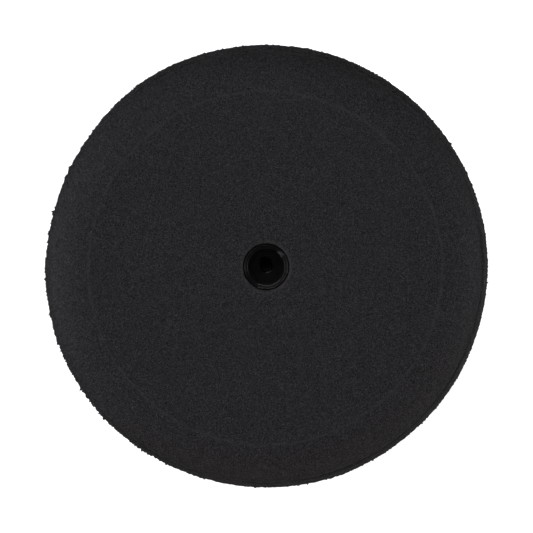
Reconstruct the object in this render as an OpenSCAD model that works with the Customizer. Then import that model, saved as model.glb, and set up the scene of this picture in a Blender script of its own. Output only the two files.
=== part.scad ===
// Double-sided foam polishing pad with a recessed quick-connect hub.
// Two foam discs sit back to back, each bonded to a stiff backing plate of its own. Two hub halves,
// one per side, are riveted through both plates, and the foam discs are glued together at the rim.
// The pad lies flat, its axis is Z, and the origin is the centre of the rear working face.

/* [Pad] */
// Outer diameter of the rear foam disc, the larger of the two
pad_d = 203.2; // [190:0.1:215]
// How much smaller the front foam disc is, on its diameter
front_step = 6.8; // [0:0.1:8]
// Thickness over both working faces
pad_t = 50; // [44:0.5:60]
// Diameter of the flat part of each working face
face_d = 161; // [150:1:164]
// Angle that the shoulder outside the flat face rolls through before it meets the rim corner
shoulder_angle = 45; // [20:1:70]
// Radius of the corner between the shoulder and the rim
rim_corner_r = 5; // [2:0.5:6]
// Rounding on each disc's edge where the two discs meet
seam_round_r = 2; // [1:0.5:6]

/* [Foam hole] */
// Diameter of the hole through the foam
foam_hole_d = 21.4; // [21.2:0.1:24]
// Radius worn on the edge of that hole
hole_edge_r = 0.8; // [0.2:0.1:2]

/* [Backing plates] */
// Diameter of each plate
plate_d = 162; // [150:1:164]
// Thickness of each plate
plate_t = 1.6; // [1.2:0.1:2.5]
// Diameter of the hole at the centre of each plate
plate_hole_d = 24.2; // [24:0.1:28]
// Thickness of each adhesive layer
glue_t = 0.3; // [0.2:0.05:0.6]

/* [Hub] */
// Diameter of the round guide bore for the adaptor's stud
bore_d = 16.4; // [16.2:0.1:17]
// Outer diameter of the collar
collar_d = 20.9; // [20:0.1:20.9]
// Depth of the collar's lip below the working face
collar_recess = 8; // [5:0.5:10]
// Width of the round-topped lip on the collar's outer edge
lip_w = 0.8; // [0.5:0.1:1]
// Depth of the ledge inside the lip, below the lip's crown
ledge_drop = 0.9; // [0.6:0.1:1.5]
// Rounding where the ledge turns down into the bore
mouth_round_r = 0.7; // [0.3:0.1:1]
// Diameter of the hub flange that the rivets go through
flange_d = 64; // [60:1:80]
// Thickness of the flange
flange_t = 1.6; // [1.2:0.1:2]
// Hex drive socket, across its flats
hex_af = 13.6; // [12:0.1:14]
// Depth of the hex drive socket
hex_depth = 5.5; // [4:0.5:6]
// Diameter of the undercut between the bore and the hex socket
undercut_d = 17.6; // [17.2:0.1:18.4]
// Height of that undercut
undercut_h = 1.5; // [1:0.1:2]
// Thickness of the web that closes the socket at the joint plane
web_t = 2; // [1.6:0.1:2.5]
// Diameter of the dimple in the middle of the web
dimple_d = 5; // [4:0.1:7]
// Depth of that dimple
dimple_depth = 1.3; // [0.8:0.1:1.4]
// Rounding on the edge of the dimple
dimple_round_r = 0.5; // [0.2:0.1:0.8]

/* [Rivets] */
// Number of rivets
rivets = 6; // [4:1:8]
// Diameter of the circle that they stand on
rivet_circle_d = 48; // [44:1:52]
// Diameter of a rivet's shank
rivet_d = 3.2; // [3:0.1:4]
// Diameter of a rivet's head
rivet_head_d = 6.4; // [5.5:0.1:7]
// Height of a rivet's head
rivet_head_h = 1; // [0.8:0.1:1.4]

/* [Hidden] */
$fn = 128;

half_t = pad_t / 2;             // height of a working face above the joint plane
film_z = plate_t;               // each film lies on its plate
foam_z = plate_t + glue_t;      // foam that is bonded to the plate starts here
rim_z = glue_t / 2;             // foam that is bonded to the other disc starts here
flange_top = plate_t + flange_t;
collar_top = half_t - collar_recess;
ledge_z = collar_top - ledge_drop;
hex_top = web_t + hex_depth;
undercut_top = hex_top + undercut_h;
front_rim_r = (pad_d - front_step) / 2;
rear_rim_r = pad_d / 2;
arc_steps = 8;                  // straight pieces in each rounded stretch of a profile

plate_gap = 0.3;                // foam stands off the plate's edge by this much
plate_fall = 2.2;               // width over which the foam closes down past the plate's edge
flange_gap = 0.3;               // foam stands off the hub flange by this much
flange_air = 0.1;               // and over it
head_air = 0.2;                 // room over and round each rivet head
glue_inset = 1;                 // adhesive stops short of the edges it bonds
rivet_play = 0.1;               // radial room for a rivet in its holes
foam_black = [0.13, 0.13, 0.135];
plastic_black = [0.04, 0.04, 0.045];
plate_grey = [0.2, 0.2, 0.21];
glue_amber = [0.75, 0.66, 0.42];
rivet_steel = [0.7, 0.7, 0.72];

// Points of an arc of radius r round (cx, cy), from angle a to angle b
function arc(cx, cy, r, a, b) =
    [for (i = [0 : arc_steps]) let (t = a + (b - a) * i / arc_steps) [cx + r * cos(t), cy + r * sin(t)]];

// The working side of a foam disc of rim radius r: flat face, rolled shoulder, rim corner
function working_side(r) =
    let (corner_x = r - rim_corner_r,
         reach = (corner_x - face_d / 2) / sin(shoulder_angle),
         shoulder_r = reach + rim_corner_r,
         centre_z = half_t - shoulder_r,
         end = 90 - shoulder_angle)
    concat(
        arc(face_d / 2, centre_z, shoulder_r, 90, end),
        arc(corner_x, centre_z + reach * sin(end), rim_corner_r, end, 0)
    );

// Half section of a foam disc above the joint plane, with its hub recess
function foam_section(r) = concat(
    [[foam_hole_d / 2, flange_top + flange_air]],
    arc(foam_hole_d / 2 + hole_edge_r, half_t - hole_edge_r, hole_edge_r, 180, 90),
    working_side(r),
    arc(r - seam_round_r, rim_z + seam_round_r, seam_round_r, 0, -90),
    [
        [plate_d / 2 + plate_gap + plate_fall, rim_z],
        [plate_d / 2 + plate_gap, foam_z],
        [flange_d / 2 + flange_gap, foam_z],
        [flange_d / 2 + flange_gap, flange_top + flange_air],
    ]
);

module at_rivets() {
    for (i = [0 : rivets - 1])
        rotate([0, 0, i * 360 / rivets])
            translate([rivet_circle_d / 2, 0, 0])
                children();
}

// Every half is drawn above the joint plane, then placed on its side of the pad
module on_front() {
    translate([0, 0, half_t]) children();
}

module on_rear() {
    translate([0, 0, half_t]) mirror([0, 0, 1]) children();
}

module ring(outer_d, inner_d, z, h) {
    translate([0, 0, z])
        difference() {
            cylinder(h = h, d = outer_d);
            translate([0, 0, -h]) cylinder(h = 3 * h, d = inner_d);
        }
}

module foam_disc(r) {
    color(foam_black)
        difference() {
            rotate_extrude() polygon(foam_section(r));
            at_rivets()
                translate([0, 0, plate_t])
                    cylinder(h = flange_t + rivet_head_h + head_air, d = rivet_head_d + 2 * head_air);
        }
}

module backing_plate() {
    color(plate_grey)
        difference() {
            ring(plate_d, plate_hole_d, 0, plate_t);
            at_rivets()
                translate([0, 0, -plate_t])
                    cylinder(h = 3 * plate_t, d = rivet_d + 2 * rivet_play);
        }
}

module adhesive_film() {
    color(glue_amber)
        ring(plate_d - 2 * glue_inset, flange_d + 2 * glue_inset, film_z, glue_t);
}

// Half section of a hub half: flange, collar with a lip and a ledge, bore, undercut, web
function hub_section(bore_r, collar_r) = concat(
    [
        [0, 0],
        [plate_hole_d / 2 - plate_gap, 0],
        [plate_hole_d / 2 - plate_gap, plate_t],
        [flange_d / 2, plate_t],
        [flange_d / 2, flange_top],
        [collar_r, flange_top],
    ],
    arc(collar_r - lip_w / 2, collar_top - lip_w / 2, lip_w / 2, 0, 180),
    [[collar_r - lip_w, ledge_z]],
    arc(bore_r + mouth_round_r, ledge_z - mouth_round_r, mouth_round_r, 90, 180),
    [
        [bore_r, undercut_top],
        [undercut_d / 2, undercut_top],
        [undercut_d / 2, web_t],
    ],
    arc(dimple_d / 2 + dimple_round_r, web_t - dimple_round_r, dimple_round_r, 90, 180),
    [
        [dimple_d / 2, web_t - dimple_depth],
        [0, web_t - dimple_depth],
    ]
);

// Material that the hex drive socket is cut in
module hex_socket() {
    across_corners = hex_af / cos(30);
    translate([0, 0, web_t])
        difference() {
            cylinder(h = hex_depth, d = undercut_d);
            translate([0, 0, -hex_depth]) cylinder(h = 3 * hex_depth, d = across_corners, $fn = 6);
        }
}

module hub_half() {
    color(plastic_black)
        difference() {
            union() {
                rotate_extrude() polygon(hub_section(bore_d / 2, collar_d / 2));
                hex_socket();
            }
            at_rivets()
                translate([0, 0, -plate_t])
                    cylinder(h = 3 * flange_top, d = rivet_d + 2 * rivet_play);
        }
}

// A rivet set through both halves, with a domed head at each end
module rivet() {
    head_r = rivet_head_d / 2;
    dome = [for (i = [0 : arc_steps]) let (t = 90 - 90 * i / arc_steps)
        [head_r * cos(t), flange_top + rivet_head_h * sin(t)]];
    upper = concat(dome, [[rivet_d / 2, flange_top]]);
    lower = [for (i = [len(upper) - 1 : -1 : 0]) [upper[i][0], -upper[i][1]]];
    rotate_extrude() polygon(concat(upper, lower));
}

module front_foam_pad() { on_front() foam_disc(front_rim_r); }
module rear_foam_pad() { on_rear() foam_disc(rear_rim_r); }
module front_backing_plate() { on_front() backing_plate(); }
module rear_backing_plate() { on_rear() backing_plate(); }
module front_adhesive_film() { on_front() adhesive_film(); }
module rear_adhesive_film() { on_rear() adhesive_film(); }
module front_hub() { on_front() hub_half(); }
module rear_hub() { on_rear() hub_half(); }

module rim_adhesive_ring() {
    outer_d = 2 * (front_rim_r - seam_round_r - glue_inset);
    inner_d = plate_d + 2 * (plate_gap + plate_fall + glue_inset);
    color(glue_amber)
        on_front() ring(outer_d, inner_d, -glue_t / 2, glue_t);
}

module hub_rivets() {
    color(rivet_steel)
        on_front() at_rivets() rivet();
}

front_foam_pad();
rear_foam_pad();
front_backing_plate();
rear_backing_plate();
front_adhesive_film();
rear_adhesive_film();
rim_adhesive_ring();
front_hub();
rear_hub();
hub_rivets();
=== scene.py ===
"""Looks for the double-sided foam polishing pad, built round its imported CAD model.

The two foam discs and the two hub halves are replaced by finer meshes that stand in the same
places. The plates, adhesive layers and rivets keep their CAD shapes and get their own materials.
Lengths are in metres in the scene and its materials. Profiles and relief are written in
millimetres and scaled by MM.
"""

import math

import bmesh
import bpy
import numpy as np
from mathutils import Matrix, Vector


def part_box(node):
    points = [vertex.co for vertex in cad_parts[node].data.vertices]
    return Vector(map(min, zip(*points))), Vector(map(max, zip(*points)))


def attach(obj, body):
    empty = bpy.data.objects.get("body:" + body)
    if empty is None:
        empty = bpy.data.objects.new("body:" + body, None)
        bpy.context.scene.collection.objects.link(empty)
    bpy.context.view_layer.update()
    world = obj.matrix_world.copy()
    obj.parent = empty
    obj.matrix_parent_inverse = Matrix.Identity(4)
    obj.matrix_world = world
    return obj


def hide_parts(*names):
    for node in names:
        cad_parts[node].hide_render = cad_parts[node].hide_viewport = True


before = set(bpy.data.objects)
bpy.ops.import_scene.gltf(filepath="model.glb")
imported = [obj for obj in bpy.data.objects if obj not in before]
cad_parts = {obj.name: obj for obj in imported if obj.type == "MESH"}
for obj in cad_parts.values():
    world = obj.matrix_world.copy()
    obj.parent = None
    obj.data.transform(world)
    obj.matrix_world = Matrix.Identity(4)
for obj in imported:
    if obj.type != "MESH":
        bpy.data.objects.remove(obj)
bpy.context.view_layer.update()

MM = 0.001
TAU = 2 * math.pi

# --- sizes taken from the frame ----------------------------------------------------------------
FRONT_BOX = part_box("front_foam_pad")
REAR_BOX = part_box("rear_foam_pad")
HUB_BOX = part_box("front_hub")
PLATE_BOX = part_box("front_backing_plate")


def span_mm(box, axis):
    """Length of a node's box along one axis, in millimetres."""
    return (box[1][axis] - box[0][axis]) / MM


PAD_T = (FRONT_BOX[1][2] - REAR_BOX[0][2]) / MM
HALF_T = PAD_T / 2
FRONT_R = span_mm(FRONT_BOX, 1) / 2
REAR_R = span_mm(REAR_BOX, 1) / 2
PLATE_R = span_mm(PLATE_BOX, 1) / 2
FLANGE_R = span_mm(HUB_BOX, 1) / 2
COLLAR_TOP = span_mm(HUB_BOX, 2)

# --- sizes that repeat the CAD design, in millimetres ------------------------------------------
FACE_R = 80.5
SHOULDER_ANGLE = 45.0
CORNER_R = 5.0
SEAM_R = 2.0
GLUE_T = 0.3
FOAM_HOLE_R = 10.7
HOLE_EDGE_R = 0.8
PLATE_T = 1.6
PLATE_GAP = 0.3
PLATE_FALL = 2.2
FLANGE_GAP = 0.3
FLANGE_TOP = 3.2
RECESS_Z = 3.3
BOSS_R = 11.8
COLLAR_R = 10.45
LIP_W = 0.8
LEDGE_DROP = 0.9
MOUTH_R = 0.7
BORE_R = 8.2
UNDERCUT_R = 8.8
WEB_T = 2.0
HEX_TOP = 7.5
UNDERCUT_TOP = 9.0
HEX_AF = 13.6
DIMPLE_R = 2.5
DIMPLE_ROUND = 0.5
DIMPLE_DEPTH = 1.3
RIVETS = 6
RIVET_RING_R = 24.0
RIVET_HOLE_R = 1.7

# --- foam surface, in millimetres and degrees --------------------------------------------------
CELL = 0.72
POINT_SCATTER = 0.24 * CELL
HIDDEN_RING = 180
SEAM_FADE = 1.5
RIM_START_R = 84
# Relief on the flat face, and what ragged foam adds to it.
GRAIN = (0.02, 0.17)
LUMPS = (0.01, 0.13)
LUMP_SIZE = 1.7
TUFT_ABOVE = 0.955
TUFT_HEIGHT = (0.15, 0.5)
SWELL, SWELL_SIZE = 0.015, 7.0
SAG, SAG_SIZE = 0.06, 38.0
HOLE_WALL_SHARE = 0.4
TORN_SIDE, TORN_WIDTH, TORN_GAIN = 180, 60, 1.2
CREASE_WIDTH = 0.8
CREASE_HEIGHT = 0.16
CREASE_CHANGE, CREASE_CHANGE_SIZE = 0.08, 22.0
RIM_WAVE, RIM_WAVE_SIZE = 0.2, 30.0
# Bulges and dents of the rims: bearing, width, height.
FRONT_DENTS = ((188, 55, 1.6),)
REAR_DENTS = ((165, 14, -0.9), (145, 7, -0.5), (222, 25, 0.6), (115, 15, 0.6), (325, 25, -0.3))

# --- hub surface, in millimetres and degrees ---------------------------------------------------
HUB_SIDES = 240
SOFT_EDGE = 0.25
CRISP_ANGLE = 35
HEX_LEAD = 0.15
HEX_LEAD_Z = 0.2
HEX_CLEAR = 0.1
NUB_ANGLE = 41
NUB_WIDTH = 6
NUB_RING_R = 8.3
NUB_CREST_R = 8.6
NUB_REACH = 0.7
NUB_HEIGHT = 0.5


# --- small numeric helpers ---------------------------------------------------------------------
def arc(cr, cz, radius, start, end, steps):
    """Points of an arc in the (r, z) plane, angles in degrees."""
    t = np.radians(np.linspace(start, end, steps))
    return np.stack([cr + radius * np.cos(t), cz + radius * np.sin(t)], axis=1)


def resample(points, spacing):
    """The same line, cut into even steps of about spacing."""
    seg = np.linalg.norm(np.diff(points, axis=0), axis=1)
    keep = np.concatenate([[True], seg > 1e-9])
    points = points[keep]
    seg = np.linalg.norm(np.diff(points, axis=0), axis=1)
    length = np.concatenate([[0], np.cumsum(seg)])
    count = max(2, int(round(length[-1] / spacing)) + 1)
    at = np.linspace(0, length[-1], count)
    return np.stack([np.interp(at, length, points[:, k]) for k in (0, 1)], axis=1)


def ring_points(r, z, angle):
    """Points at radius r and height z, one for each angle."""
    level = np.broadcast_to(z, angle.shape)
    return np.stack([r * np.cos(angle), r * np.sin(angle), level], axis=1)


def turn_from(angle, centre):
    """How far each angle, in radians, is from centre: in degrees, from -180 to 180."""
    return (np.degrees(angle) - centre + 180) % 360 - 180


def smooth_step(x):
    """0 to 1 with flat ends."""
    x = np.clip(x, 0, 1)
    return x * x * (3 - 2 * x)


def bump_at(x, centre, width):
    """A soft bump of height 1 at centre."""
    return np.exp(-(((x - centre) / width) ** 2))


def lattice(ix, iy, iz, seed):
    """A repeatable random value from 0 to 1 for each corner of a lattice."""
    n = (ix * 374761393 + iy * 668265263 + iz * 2147483647 + seed * 974711) & 0xFFFFFFFF
    n = ((n ^ (n >> 13)) * 1274126177) & 0xFFFFFFFF
    n = ((n ^ (n >> 16)) * 2246822519) & 0xFFFFFFFF
    return ((n ^ (n >> 15)) & 0xFFFFFF) / float(0xFFFFFF)


def value_noise(p, size, seed):
    """Smooth noise from -1 to 1 with features about size across, at points p."""
    q = p / size
    base = np.floor(q).astype(np.int64)
    f = smooth_step(q - base)
    total = np.zeros(len(p))
    for dx in (0, 1):
        for dy in (0, 1):
            for dz in (0, 1):
                w = (
                    (f[:, 0] if dx else 1 - f[:, 0])
                    * (f[:, 1] if dy else 1 - f[:, 1])
                    * (f[:, 2] if dz else 1 - f[:, 2])
                )
                total += w * lattice(base[:, 0] + dx, base[:, 1] + dy, base[:, 2] + dz, seed)
    return total * 2 - 1


# --- meshes turned round the Z axis ------------------------------------------------------------
def stitch(a, b):
    """Triangles between two rings: each is (first point's index, points, first point's angle)."""
    (a0, na, turn_a), (b0, nb, turn_b) = a, b
    shift = int(round((turn_a - turn_b) / TAU * nb))
    start_b = turn_b + TAU * shift / nb
    tris = []
    i = j = 0
    while i < na or j < nb:
        next_a = turn_a + TAU * (i + 1) / na if i < na else math.inf
        next_b = start_b + TAU * (j + 1) / nb if j < nb else math.inf
        here_a, here_b = a0 + i % na, b0 + (j + shift) % nb
        if next_a <= next_b:
            tris.append((here_a, here_b, a0 + (i + 1) % na))
            i += 1
        else:
            tris.append((here_a, here_b, b0 + (j + shift + 1) % nb))
            j += 1
    return tris


def new_object(name, verts, faces, material):
    """A smooth-shaded mesh object in the scene, with one material. Points are in metres."""
    mesh = bpy.data.meshes.new(name)
    mesh.from_pydata(verts.tolist(), [], faces)
    mesh.polygons.foreach_set("use_smooth", [True] * len(mesh.polygons))
    mesh.update()
    ob = bpy.data.objects.new(name, mesh)
    bpy.context.scene.collection.objects.link(ob)
    ob.data.materials.append(material)
    return ob


# --- foam discs --------------------------------------------------------------------------------
def foam_outline(rim_r):
    """(visible profile, hidden profile) of a disc, with z measured from the joint plane."""
    rim_z = GLUE_T / 2
    foam_z = PLATE_T + GLUE_T
    end = 90 - SHOULDER_ANGLE
    corner_r = rim_r - CORNER_R
    reach = (corner_r - FACE_R) / math.cos(math.radians(end))
    centre_z = HALF_T - CORNER_R - reach
    corner_z = centre_z + reach * math.sin(math.radians(end))
    edge_z = HALF_T - HOLE_EDGE_R
    shown = np.concatenate(
        [
            [(FOAM_HOLE_R, RECESS_Z), (FOAM_HOLE_R, edge_z)],
            arc(FOAM_HOLE_R + HOLE_EDGE_R, edge_z, HOLE_EDGE_R, 180, 90, 12),
            arc(FACE_R, centre_z, reach + CORNER_R, 90, end, 40),
            arc(corner_r, corner_z, CORNER_R, end, 0, 16),
            arc(rim_r - SEAM_R, rim_z + SEAM_R, SEAM_R, 0, -90, 16),
        ]
    )
    hidden = (
        (PLATE_R + PLATE_GAP + PLATE_FALL, rim_z),
        (PLATE_R + PLATE_GAP, foam_z),
        (FLANGE_R + FLANGE_GAP, foam_z),
        (FLANGE_R + FLANGE_GAP, RECESS_Z),
    )
    return resample(shown, CELL), hidden


def visible_rings(shown, rng):
    """Scattered rings of points up the visible profile: (points, normals, fades, rings)."""
    tangent = np.gradient(shown, axis=0)
    tangent /= np.linalg.norm(tangent, axis=1)[:, None]
    points, normals, fades, rings = [], [], [], []
    first = 0
    for k, (r, z) in enumerate(shown):
        count = int(round(TAU * r / CELL))
        turn = rng.uniform(0, TAU / count)
        loose = 0.0 if k in (0, len(shown) - 1) else POINT_SCATTER
        angle = turn + np.arange(count) * TAU / count
        angle = angle + rng.uniform(-loose, loose, count) / r
        along = rng.uniform(-loose, loose, count)
        t_r, t_z = tangent[k]
        points.append(ring_points(r + t_r * along, z + t_z * along, angle))
        normals.append(ring_points(-t_z, t_r, angle))
        fades.append(np.full(count, smooth_step((z - GLUE_T / 2) / SEAM_FADE)))
        rings.append((first, count, turn))
        first += count
    return np.concatenate(points), np.concatenate(normals), np.concatenate(fades), rings


def foam_relief(q, n, radius, angle, seed, rng):
    """How far each point q stands out along its normal n, like cut open-cell foam."""
    steep = 1 - np.abs(n[:, 2])
    exposed = np.where(radius > FACE_R, 1.0, HOLE_WALL_SHARE * (q[:, 2] > COLLAR_TOP + 1))
    torn = bump_at(np.abs(np.degrees(angle)), TORN_SIDE, TORN_WIDTH)
    ragged = steep * exposed * (1 + TORN_GAIN * torn)
    grain = rng.normal(0, 1, len(q))
    tuft = np.where(rng.random(len(q)) > TUFT_ABOVE, rng.uniform(*TUFT_HEIGHT, len(q)), 0)
    push = grain * (GRAIN[0] + GRAIN[1] * ragged)
    push += tuft * ragged
    push += value_noise(q, LUMP_SIZE, seed + 1) * (LUMPS[0] + LUMPS[1] * ragged)
    push += value_noise(q, SWELL_SIZE, seed + 2) * SWELL
    push += value_noise(q, SAG_SIZE, seed + 3) * SAG
    crease = bump_at(radius, FACE_R, CREASE_WIDTH) * (q[:, 2] > HALF_T - 1)
    change = value_noise(q, CREASE_CHANGE_SIZE, seed + 4)
    push += crease * (CREASE_HEIGHT + CREASE_CHANGE * change)
    return push


def rim_offset(angle, dents):
    """How far the rim stands in or out at each angle, in millimetres."""
    total = np.zeros(len(angle))
    for centre, width, height in dents:
        total += height * bump_at(turn_from(angle, centre), 0, width)
    return total


def foam_disc(name, rim_r, side, seed, dents, material, node):
    """A foam disc with cut-foam relief. side is 1 above the joint plane and -1 below it."""
    rng = np.random.default_rng(seed)
    shown, hidden = foam_outline(rim_r)
    q, n, fade, rings = visible_rings(shown, rng)
    radius = np.hypot(q[:, 0], q[:, 1])
    angle = np.arctan2(q[:, 1], q[:, 0])
    q += n * (foam_relief(q, n, radius, angle, seed, rng) * fade)[:, None]
    wave = rim_offset(angle, dents)
    wave += value_noise(q * (1, 1, 0.1), RIM_WAVE_SIZE, seed + 5) * RIM_WAVE
    rim = smooth_step((radius - RIM_START_R) / (rim_r - RIM_START_R))
    q[:, :2] *= (1 + wave * rim / radius)[:, None]
    points = [q]
    even = np.arange(HIDDEN_RING) * TAU / HIDDEN_RING
    for k, (r, z) in enumerate(hidden):
        points.append(ring_points(r, z, even))
        rings.append((len(q) + k * HIDDEN_RING, HIDDEN_RING, 0.0))
    p = np.concatenate(points)
    p[:, 2] = HALF_T + side * p[:, 2]
    faces = []
    for k in range(len(rings)):
        faces += stitch(rings[k], rings[(k + 1) % len(rings)])
    if side < 0:
        faces = [(a, c, b) for a, b, c in faces]
    ob = new_object(name, p * MM, faces, material)
    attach(ob, "root")
    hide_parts(node)
    return ob


# --- hub halves --------------------------------------------------------------------------------
def hex_radius(angle):
    """Distance from the axis to the drive socket's wall at each angle."""
    return HEX_AF / 2 / np.cos(angle % (TAU / 6) - TAU / 12)


def hub_outline():
    """Profile of a hub half from its joint face, round the outside, to the hex socket's rim."""
    ledge = COLLAR_TOP - LEDGE_DROP
    soft = SOFT_EDGE
    return np.concatenate(
        [
            [(BOSS_R / 2, 0), (BOSS_R, 0), (BOSS_R, PLATE_T), (FLANGE_R, PLATE_T)],
            arc(FLANGE_R - soft, FLANGE_TOP - soft, soft, 0, 90, 6),
            arc(COLLAR_R + soft, FLANGE_TOP + soft, soft, 270, 180, 6),
            arc(COLLAR_R - LIP_W / 2, COLLAR_TOP - LIP_W / 2, LIP_W / 2, 0, 180, 24),
            arc(COLLAR_R - LIP_W - soft, ledge + soft, soft, 0, -90, 8),
            arc(BORE_R + MOUTH_R, ledge - MOUTH_R, MOUTH_R, 90, 180, 20),
            arc(BORE_R + soft, UNDERCUT_TOP + soft, soft, 180, 270, 5),
            [(UNDERCUT_R, UNDERCUT_TOP), (UNDERCUT_R, HEX_TOP)],
        ]
    )


def hub_rings():
    """Rings of a hub half from its joint face to the dimple's floor, and the floor's height."""
    angle = np.arange(HUB_SIDES) * TAU / HUB_SIDES
    nub = bump_at(turn_from(angle, NUB_ANGLE), 0, NUB_WIDTH)
    rings = []
    for r, z in hub_outline():
        raised = nub * bump_at(r, NUB_CREST_R, NUB_REACH) * (z > UNDERCUT_TOP + 1) * NUB_HEIGHT
        rings.append(ring_points(r, z + raised, angle))
    wall = hex_radius(angle)
    leads = (HEX_LEAD, 0, 0, -HEX_LEAD)
    levels = (HEX_TOP, HEX_TOP - HEX_LEAD_Z, WEB_T + HEX_LEAD_Z, WEB_T)
    for lead, z in zip(leads, levels):
        rings.append(ring_points(np.minimum(wall + lead, UNDERCUT_R - HEX_CLEAR), z, angle))
    floor_z = WEB_T - DIMPLE_DEPTH
    dimple = np.concatenate(
        [
            arc(DIMPLE_R + DIMPLE_ROUND, WEB_T - DIMPLE_ROUND, DIMPLE_ROUND, 90, 180, 10),
            arc(DIMPLE_R - DIMPLE_ROUND, floor_z + DIMPLE_ROUND, DIMPLE_ROUND, 0, -90, 8),
        ]
    )
    rings += [ring_points(r, z, angle) for r, z in dimple]
    return rings, floor_z


def hub_half(name, side, node, material):
    """A hub half: flange, collar with lip and ledge, guide bore, undercut, hex socket and web."""
    rings, floor_z = hub_rings()
    count = len(rings) * HUB_SIDES
    p = np.concatenate([*rings, [(0, 0, 0), (0, 0, floor_z)]])
    p[:, 2] = HALF_T + side * p[:, 2]
    faces = []
    for i in range(HUB_SIDES):
        j = (i + 1) % HUB_SIDES
        faces.append((count, j, i))
        for a in range(0, count - HUB_SIDES, HUB_SIDES):
            b = a + HUB_SIDES
            faces.append((a + i, a + j, b + j, b + i))
        faces.append((count + 1, count - HUB_SIDES + i, count - HUB_SIDES + j))
    if side < 0:
        faces = [face[::-1] for face in faces]
    ob = new_object(name, p * MM, faces, material)
    drill_rivet_holes(ob)
    keep_edges_crisp(ob)
    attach(ob, "root")
    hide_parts(node)
    return ob


def drill_rivet_holes(ob):
    """Cut the rivet holes through a hub half's flange."""
    cutter_mesh = bpy.data.meshes.new("cutter")
    bm = bmesh.new()
    for k in range(RIVETS):
        a = TAU * k / RIVETS
        place = Matrix.Translation(
            (RIVET_RING_R * math.cos(a) * MM, RIVET_RING_R * math.sin(a) * MM, HALF_T * MM)
        )
        bmesh.ops.create_cone(
            bm, cap_ends=True, segments=32, radius1=RIVET_HOLE_R * MM, radius2=RIVET_HOLE_R * MM,
            depth=4 * FLANGE_TOP * MM, matrix=place,
        )
    bm.to_mesh(cutter_mesh)
    bm.free()
    cutter = bpy.data.objects.new("cutter", cutter_mesh)
    bpy.context.scene.collection.objects.link(cutter)
    cut = ob.modifiers.new("rivet_holes", "BOOLEAN")
    cut.object = cutter
    cut.operation = "DIFFERENCE"
    cut.solver = "EXACT"
    apply_modifiers(ob)
    bpy.data.objects.remove(cutter)
    bpy.data.meshes.remove(cutter_mesh)


def apply_modifiers(ob):
    """Write the result of an object's modifiers into its mesh."""
    bpy.context.view_layer.update()
    depsgraph = bpy.context.evaluated_depsgraph_get()
    done = bpy.data.meshes.new_from_object(ob.evaluated_get(depsgraph))
    old = ob.data
    ob.modifiers.clear()
    ob.data = done
    done.name = ob.name
    bpy.data.meshes.remove(old)


def keep_edges_crisp(ob):
    """Smooth shading, split only at edges sharper than CRISP_ANGLE."""
    ob.data.polygons.foreach_set("use_smooth", [True] * len(ob.data.polygons))
    ob.data.set_sharp_from_angle(angle=math.radians(CRISP_ANGLE))


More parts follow.
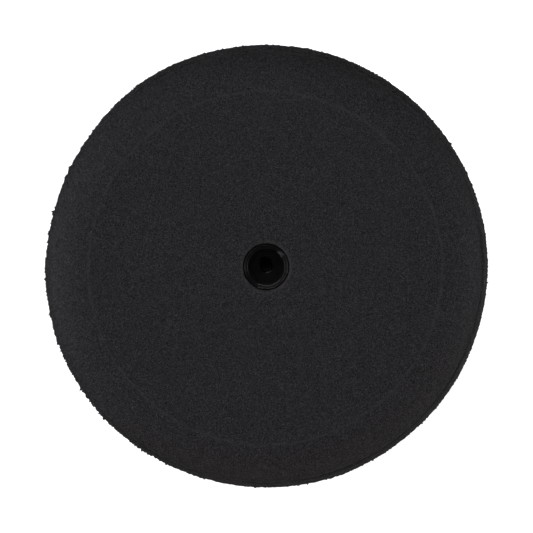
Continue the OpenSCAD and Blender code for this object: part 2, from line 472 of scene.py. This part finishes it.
# --- materials ---------------------------------------------------------------------------------
class Shader:
    """A node material under construction, patterned by place in the object's own coordinates."""

    def __init__(self, name):
        self.material = bpy.data.materials.new(name)
        self.material.use_nodes = True
        self.tree = self.material.node_tree
        self.tree.nodes.clear()
        self.surface = self.add("ShaderNodeBsdfPrincipled")
        out = self.add("ShaderNodeOutputMaterial")
        self.tree.links.new(self.surface.outputs[0], out.inputs["Surface"])
        self.place = self.add("ShaderNodeTexCoord").outputs["Object"]

    def add(self, kind, **settings):
        """A new node with some of its settings."""
        node = self.tree.nodes.new(kind)
        for key, value in settings.items():
            setattr(node, key, value)
        return node

    def put(self, socket, value):
        """Set a socket to a value, or link it to another socket."""
        if isinstance(value, bpy.types.NodeSocket):
            self.tree.links.new(value, socket)
        else:
            socket.default_value = value

    def math(self, operation, a, b=0.0, c=0.0, clamp=False):
        """The result of a Math node."""
        node = self.add("ShaderNodeMath", operation=operation, use_clamp=clamp)
        for socket, value in zip(node.inputs, (a, b, c)):
            self.put(socket, value)
        return node.outputs[0]

    def noise(self, size, detail=3.0, roughness=0.6):
        """Noise with features about size metres across."""
        node = self.add("ShaderNodeTexNoise")
        self.put(node.inputs["Vector"], self.place)
        node.inputs["Scale"].default_value = 1 / size
        node.inputs["Detail"].default_value = detail
        node.inputs["Roughness"].default_value = roughness
        return node.outputs[0]

    def cells(self, size):
        """Voronoi cells about size metres across: (distance, random colour)."""
        node = self.add("ShaderNodeTexVoronoi")
        self.put(node.inputs["Vector"], self.place)
        node.inputs["Scale"].default_value = 1 / size
        return node.outputs["Distance"], node.outputs["Color"]

    def channel(self, color, index):
        """One channel of a colour, as a number."""
        split = self.add("ShaderNodeSeparateColor")
        self.put(split.inputs[0], color)
        return split.outputs[index]

    def span(self, value, low, high, to_low=0.0, to_high=1.0):
        """Value from low..high mapped smoothly to to_low..to_high, and held at the ends."""
        node = self.add("ShaderNodeMapRange", interpolation_type="SMOOTHSTEP")
        keys = ("From Min", "From Max", "To Min", "To Max")
        for key, number in zip(keys, (low, high, to_low, to_high)):
            node.inputs[key].default_value = number
        self.put(node.inputs["Value"], value)
        return node.outputs["Result"]

    def blend(self, amount, a, b):
        """Colour a turning into colour b as amount goes from 0 to 1."""
        node = self.add("ShaderNodeMix", data_type="RGBA", blend_type="MIX")
        self.put(node.inputs["Factor"], amount)
        for socket, value in ((node.inputs[6], a), (node.inputs[7], b)):
            self.put(socket, value if isinstance(value, bpy.types.NodeSocket) else (*value, 1.0))
        return node.outputs[2]

    def axis(self, name):
        """One coordinate of the surface point, in metres."""
        split = self.add("ShaderNodeSeparateXYZ")
        self.put(split.inputs[0], self.place)
        return split.outputs[name]

    def radius(self, dx=0.0, dy=0.0):
        """Distance in metres from the upright line through (dx, dy)."""
        x = self.math("SUBTRACT", self.axis("X"), dx)
        y = self.math("SUBTRACT", self.axis("Y"), dy)
        squares = self.math("ADD", self.math("MULTIPLY", x, x), self.math("MULTIPLY", y, y))
        return self.math("SQRT", squares)

    def wander(self, value, reach, noise):
        """Value shifted up and down by a noise, over reach in all."""
        return self.math("MULTIPLY_ADD", self.math("SUBTRACT", noise, 0.5), reach, value)

    def finish(self, color, roughness, height=None, depth=0.0001, strength=1.0, **plain):
        """Wire the surface. plain holds uniform Principled settings, with _ for spaces."""
        self.put(self.surface.inputs["Base Color"], color)
        self.put(self.surface.inputs["Roughness"], roughness)
        for key, value in plain.items():
            self.surface.inputs[key.replace("_", " ")].default_value = value
        if height is not None:
            bump = self.add("ShaderNodeBump")
            bump.inputs["Distance"].default_value = depth
            bump.inputs["Strength"].default_value = strength
            self.put(bump.inputs["Height"], height)
            self.put(self.surface.inputs["Normal"], bump.outputs[0])
        return self.material


FOAM_DARK = (0.0006, 0.0005, 0.0007)
FOAM_LIGHT = (0.0522, 0.0452, 0.0467)
FOAM_LIGHT_COOL = (0.0480, 0.0452, 0.0547)
# Pale foam for the scuffed crease ring, also used as painted light round the hub hole.
FOAM_SCUFF_AND_EDGE_LIGHT = (0.0300, 0.0283, 0.0309)
# Painted light along the seam between the discs.
SEAM_PAINTED_LIGHT = (0.0480, 0.0456, 0.0494)
FOAM_SHADED = (0.0, 0.0, 0.0)
PAINTED_PORE_SHADE = (0.001, 0.001, 0.001)
FOAM_ROUGH = (0.58, 0.73)
GLINT_CELL = 0.00024
GLINT_POWER = 3.6
STRUT_CELL = 0.00075
CREASE_SHIFT = (-0.0004, -0.0005)
HOLE_LIGHT_START = FOAM_HOLE_R * MM + 0.0002
HOLE_LIGHT_END = FOAM_HOLE_R * MM + 0.0020
SEAM_LIGHT_TOWARD = (0.77, -0.64)
PORE_CELL = 0.0075


def foam_material():
    """Black open-cell foam: glinting cells with painted light and shade, a scuffed crease ring,
    painted light round the hub hole and at the seam, and a few pores with painted shade in them.
    """
    s = Shader("foam")
    cell_color = s.cells(GLINT_CELL)[1]
    glint = s.math("POWER", s.channel(cell_color, 0), GLINT_POWER)
    # Struts are paler and cell middles darker: painted light and shade of the open cells. The same
    # pattern raises the struts in the bump.
    strut = s.span(s.cells(STRUT_CELL)[0], 0.3, 0.62)
    grain = s.noise(0.0005, 3, 0.8)
    patch = s.noise(0.016, 3, 0.5)
    tone = s.math("MULTIPLY_ADD", glint, 0.90, s.span(grain, 0.35, 0.65, -0.075, 0.005))
    tone = s.math("MULTIPLY_ADD", strut, 0.14, tone)
    tone = s.math("ADD", tone, s.span(patch, 0.3, 0.7, -0.004, 0.004), clamp=True)
    light = s.blend(s.channel(cell_color, 1), FOAM_LIGHT, FOAM_LIGHT_COOL)
    base = s.blend(tone, FOAM_DARK, light)
    on_grain = s.span(tone, 0.0, 0.5, 0.35, 1.2)

    crease_r = s.wander(s.radius(*CREASE_SHIFT), 0.0012, s.noise(0.008, 2))
    ring = s.math("ABSOLUTE", s.math("SUBTRACT", crease_r, FACE_R * MM))
    broken = s.span(s.noise(0.005, 3, 0.7), 0.38, 0.6, 0.3, 0.8)
    scuff = s.math("MULTIPLY", s.span(ring, 0.0002, 0.0010, 1, 0), broken)
    # Painted light: a paler ring on the foam just round the hub hole, standing in for light caught
    # by the hole's rounded edge, broken up by noise.
    hole_light_breakup = s.span(s.noise(0.0022, 3, 0.7), 0.38, 0.6, 0.35, 1.15)
    hole_edge_light = s.math("MULTIPLY", s.span(s.radius(), HOLE_LIGHT_START, HOLE_LIGHT_END, 1, 0), hole_light_breakup)
    # The crease ring is scuffed foam. The ring round the hole is painted light. Both take the same
    # pale colour.
    scuff_and_edge_light = s.math("MAXIMUM", scuff, hole_edge_light)
    base = s.blend(s.math("MULTIPLY", scuff_and_edge_light, on_grain), base, FOAM_SCUFF_AND_EDGE_LIGHT)

    depth = s.math("ABSOLUTE", s.math("SUBTRACT", s.axis("Z"), HALF_T * MM))
    low_wall = s.span(depth, 0.0145, 0.018, 0.15, 0)
    base = s.blend(s.math("MULTIPLY", low_wall, s.span(depth, 0.003, 0.009)), base, FOAM_SHADED)
    # Painted light: near the joint plane the foam is made paler, most towards +X and -Y, standing
    # in for light reaching into the seam.
    toward = s.math("MULTIPLY", s.axis("Y"), SEAM_LIGHT_TOWARD[1])
    toward = s.math("MULTIPLY_ADD", s.axis("X"), SEAM_LIGHT_TOWARD[0], toward)
    seam = s.span(depth, 0.00025, 0.0011, 0.55, 0)
    seam_light = s.math("MULTIPLY", seam, s.span(toward, -0.017, 0.064))
    base = s.blend(s.math("MULTIPLY", seam_light, on_grain), base, SEAM_PAINTED_LIGHT)

    # Painted shade: a few open pores are coloured near-black for the shade inside them, and the
    # bump dents them too.
    pore_distance, pore_color = s.cells(PORE_CELL)
    rare = s.math("GREATER_THAN", s.channel(pore_color, 0), 0.7)
    pore = s.math("MULTIPLY", s.span(pore_distance, 0.07, 0.10, 1, 0), rare)
    base = s.blend(pore, base, PAINTED_PORE_SHADE)

    rough = s.span(grain, 0.2, 0.8, *FOAM_ROUGH)
    height = s.math("MULTIPLY_ADD", strut, 0.5, s.math("MULTIPLY", grain, 0.4))
    height = s.math("SUBTRACT", height, s.math("MULTIPLY", pore, 1.5))
    return s.finish(base, rough, height, depth=0.00014, strength=0.8, Specular_IOR_Level=0.15)


HUB_DARK = (0.0038, 0.0033, 0.0045)
HUB_LIGHT = (0.0068, 0.0061, 0.0078)
HUB_DUST = (0.018, 0.017, 0.020)
HUB_NUB_PALE = (0.105, 0.102, 0.110)
TEXTURED_ROUGH = 0.3
DULL_ROUGH = 0.75
DULL_PLACE = (-0.0005, 0.0018)


def hub_material():
    """Black moulded plastic: glossy below, textured and dusty above, with a pale patch on the nub.
    """
    s = Shader("hub_plastic")
    flow = s.noise(0.006, 3, 0.5)
    fine = s.noise(0.0006, 4, 0.7)
    ragged = s.noise(0.0016, 3, 0.7)
    color = s.blend(s.span(flow, 0.3, 0.7), HUB_DARK, HUB_LIGHT)
    rough = s.math("ADD", s.span(flow, 0.3, 0.7, 0.04, 0.08), s.span(fine, 0.4, 0.75, 0.0, 0.05))

    across = s.wander(s.axis("Y"), 0.004, flow)
    on_collar = s.span(s.radius(), 0.0081, 0.0084)
    textured = s.math("MULTIPLY", s.span(across, -0.0080, -0.0015), on_collar)
    dusty = s.math("MULTIPLY", s.span(across, 0.0010, 0.0060), s.span(fine, 0.35, 0.65, 0.2, 0.8))
    color = s.blend(s.math("MULTIPLY", textured, dusty), color, HUB_DUST)
    rough = s.math("MAXIMUM", rough, s.math("MULTIPLY", textured, TEXTURED_ROUGH))

    turn = math.radians(NUB_ANGLE)
    nub_r = s.radius(NUB_RING_R * math.cos(turn) * MM, NUB_RING_R * math.sin(turn) * MM)
    # A pale grey patch on the nub, which is also made rough.
    nub_patch = s.span(s.wander(nub_r, 0.0030, ragged), 0.0013, 0.0017, 1, 0)
    color = s.blend(nub_patch, color, HUB_NUB_PALE)
    dull = s.span(s.wander(s.radius(*DULL_PLACE), 0.0030, ragged), 0.0026, 0.0032, 1, 0)
    dull = s.math("MULTIPLY", s.math("MAXIMUM", nub_patch, dull), DULL_ROUGH)
    rough = s.math("MAXIMUM", rough, dull)
    return s.finish(color, rough, fine, depth=0.00001, strength=0.5, Specular_IOR_Level=0.3)


def plate_material():
    """Dark grey sheet of stiff fibre-filled plastic."""
    s = Shader("plate_plastic")
    speck = s.noise(0.0012, 4, 0.7)
    cloud = s.noise(0.02, 3, 0.5)
    color = s.blend(s.span(cloud, 0.3, 0.7), (0.022, 0.022, 0.024), (0.038, 0.038, 0.040))
    color = s.blend(s.span(speck, 0.6, 0.8, 0, 0.4), color, (0.07, 0.07, 0.072))
    rough = s.span(speck, 0.3, 0.7, 0.42, 0.62)
    return s.finish(color, rough, speck, depth=0.00005, strength=0.5)


def adhesive_material():
    """Amber contact adhesive, thicker and thinner in patches."""
    s = Shader("adhesive_layer")
    thick = s.noise(0.005, 4, 0.6)
    color = s.blend(s.span(thick, 0.3, 0.7), (0.28, 0.19, 0.06), (0.55, 0.43, 0.20))
    rough = s.span(thick, 0.3, 0.7, 0.25, 0.5)
    return s.finish(color, rough, thick, depth=0.0001, strength=0.6)


def rivet_material():
    """Satin aluminium with fine set marks."""
    s = Shader("rivet_aluminium")
    mark = s.noise(0.0008, 4, 0.7)
    color = s.blend(s.span(mark, 0.3, 0.7), (0.55, 0.55, 0.57), (0.75, 0.75, 0.77))
    rough = s.span(mark, 0.3, 0.7, 0.28, 0.45)
    return s.finish(color, rough, mark, depth=0.00003, Metallic=1.0)


# --- stage: metres, degrees and watts ----------------------------------------------------------
FLOOR_REACH = 9.0
FLOOR_DROP = 0.0002
FLOOR_SIDES = 96
FLOOR_GLOW = 0.75
LIGHT_DISTANCE = 1.85
SIDE_BOX = (1.0, 0.8)
STRIP_BOX = (1.7, 0.08)
TENT_GLOW = 0.52
OPENING_GLOW = 0.085
OPENING = (60, 44)
HORIZON = (80, 68)
HORIZON_SHARE = 0.55
CAMERA_HEIGHT = 2.4
CAMERA_TILT = (0.5, 0.3)
SENSOR = 36.0
PAD_FRAME_SHARE = 0.8297


def floor_material():
    """Plain white tabletop with a soft glow of its own, so that it stays pale beside the pad."""
    s = Shader("tabletop")
    color = s.blend(s.noise(0.8, 2, 0.5), (0.86, 0.86, 0.86), (0.90, 0.90, 0.90))
    return s.finish(
        color, 0.7, Specular_IOR_Level=0.1, Emission_Color=(1, 1, 1, 1),
        Emission_Strength=FLOOR_GLOW,
    )


def add_floor():
    """A round tabletop just under the pad, which throws no light up at the pad's rim."""
    angle = np.arange(FLOOR_SIDES) * TAU / FLOOR_SIDES
    verts = ring_points(FLOOR_REACH, -FLOOR_DROP, angle)
    floor = new_object("floor", verts, [tuple(range(FLOOR_SIDES))], floor_material())
    floor.visible_diffuse = floor.visible_glossy = False


def add_softbox(name, bearing, height, size, power, color):
    """An area light at a bearing and a height, aimed at the pad and not seen by the camera."""
    middle = Vector((0, 0, HALF_T * MM))
    turn, rise = math.radians(bearing), math.radians(height)
    level = math.cos(rise)
    away = Vector((level * math.cos(turn), level * math.sin(turn), math.sin(rise)))
    data = bpy.data.lights.new(name, "AREA")
    data.shape = "RECTANGLE"
    data.size, data.size_y = size
    data.energy = power
    data.color = color
    light = bpy.data.objects.new(name, data)
    light.location = middle + away * LIGHT_DISTANCE
    light.rotation_euler = (-away).to_track_quat("-Z", "Y").to_euler()
    light.visible_camera = False
    bpy.context.scene.collection.objects.link(light)


def add_camera():
    """Almost straight above the pad, long lens, framed as wide as the photograph's view."""
    data = bpy.data.cameras.new("camera")
    cam = bpy.data.objects.new("camera", data)
    tilt_x, tilt_y = (math.radians(t) for t in CAMERA_TILT)
    target = Vector((0, 0, HALF_T * MM))
    cam.location = target + Vector((math.sin(tilt_x), math.sin(tilt_y), 1.0)) * CAMERA_HEIGHT
    back = (cam.location - target).normalized()
    right = Vector((0, 1, 0)).cross(back).normalized()
    cam.rotation_mode = "QUATERNION"
    cam.rotation_quaternion = Matrix((right, back.cross(right), back)).transposed().to_quaternion()
    data.sensor_width = SENSOR
    data.lens = SENSOR * CAMERA_HEIGHT * PAD_FRAME_SHARE / (2 * REAR_R * MM)
    data.clip_start, data.clip_end = 0.1, 50
    bpy.context.scene.collection.objects.link(cam)
    bpy.context.scene.camera = cam


def add_world():
    """A light tent: bright at middle heights, dark overhead, dim low down, white to the camera."""
    world = bpy.data.worlds.new("tent")
    world.use_nodes = True
    tree = world.node_tree

    def put(socket, value):
        if isinstance(value, bpy.types.NodeSocket):
            tree.links.new(value, socket)
        else:
            socket.default_value = value

    def fade(value, angles, outer, inner):
        """outer to inner as the direction climbs between two angles off the zenith."""
        node = tree.nodes.new("ShaderNodeMapRange")
        node.interpolation_type = "SMOOTHSTEP"
        low, high = (math.cos(math.radians(angle)) for angle in angles)
        keys = ("From Min", "From Max", "To Min", "To Max")
        for key, number in zip(keys, (low, high, outer, inner)):
            put(node.inputs[key], number)
        put(node.inputs["Value"], value)
        return node.outputs["Result"]

    split = tree.nodes.new("ShaderNodeSeparateXYZ")
    put(split.inputs[0], tree.nodes.new("ShaderNodeTexCoord").outputs["Generated"])
    overhead = fade(split.outputs["Z"], OPENING, TENT_GLOW, OPENING_GLOW)
    low_down = fade(split.outputs["Z"], HORIZON, HORIZON_SHARE, 1.0)
    light = tree.nodes.new("ShaderNodeMath")
    light.operation = "MULTIPLY"
    put(light.inputs[0], overhead)
    put(light.inputs[1], low_down)
    seen = tree.nodes.new("ShaderNodeMix")
    put(seen.inputs["Factor"], tree.nodes.new("ShaderNodeLightPath").outputs["Is Camera Ray"])
    put(seen.inputs["A"], light.outputs[0])
    put(seen.inputs["B"], 1.0)
    put(tree.nodes["Background"].inputs["Strength"], seen.outputs["Result"])
    put(tree.nodes["Background"].inputs["Color"], (1.0, 1.0, 1.0, 1.0))
    bpy.context.scene.world = world


# --- build -------------------------------------------------------------------------------------
foam = foam_material()
hub = hub_material()
foam_disc("front_foam_disc", FRONT_R, 1, 11, FRONT_DENTS, foam, "front_foam_pad")
foam_disc("rear_foam_disc", REAR_R, -1, 23, REAR_DENTS, foam, "rear_foam_pad")
hub_half("front_hub_moulding", 1, "front_hub", hub)
hub_half("rear_hub_moulding", -1, "rear_hub", hub)

plate = plate_material()
adhesive = adhesive_material()
NODE_MATERIALS = {
    "front_backing_plate": plate,
    "rear_backing_plate": plate,
    "front_adhesive_film": adhesive,
    "rear_adhesive_film": adhesive,
    "rim_adhesive_ring": adhesive,
    "hub_rivets": rivet_material(),
}
for node_name, node_material in NODE_MATERIALS.items():
    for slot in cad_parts[node_name].material_slots:
        slot.link = "OBJECT"
        slot.material = node_material

add_floor()
add_softbox("left_low", 180, 15, SIDE_BOX, 17.6, (0.91, 0.925, 1.0))
add_softbox("left_high", 180, 30, SIDE_BOX, 6.0, (0.94, 0.96, 1.0))
add_softbox("right_low", 0, 15, SIDE_BOX, 10.1, (0.95, 0.945, 1.0))
add_softbox("right_high", 0, 30, SIDE_BOX, 5.0, (0.98, 0.98, 1.0))
add_softbox("corner", 315, 15, SIDE_BOX, 4.5, (1.0, 0.97, 0.94))
add_softbox("fill", 270, 15, SIDE_BOX, 7.2, (1.0, 0.90, 0.76))
add_softbox("strip", 110, 62, STRIP_BOX, 13.0, (1.0, 1.0, 1.0))
add_world()
add_camera()
bpy.context.scene.view_settings.view_transform = "Standard"
bpy.context.scene.view_settings.look = "None"
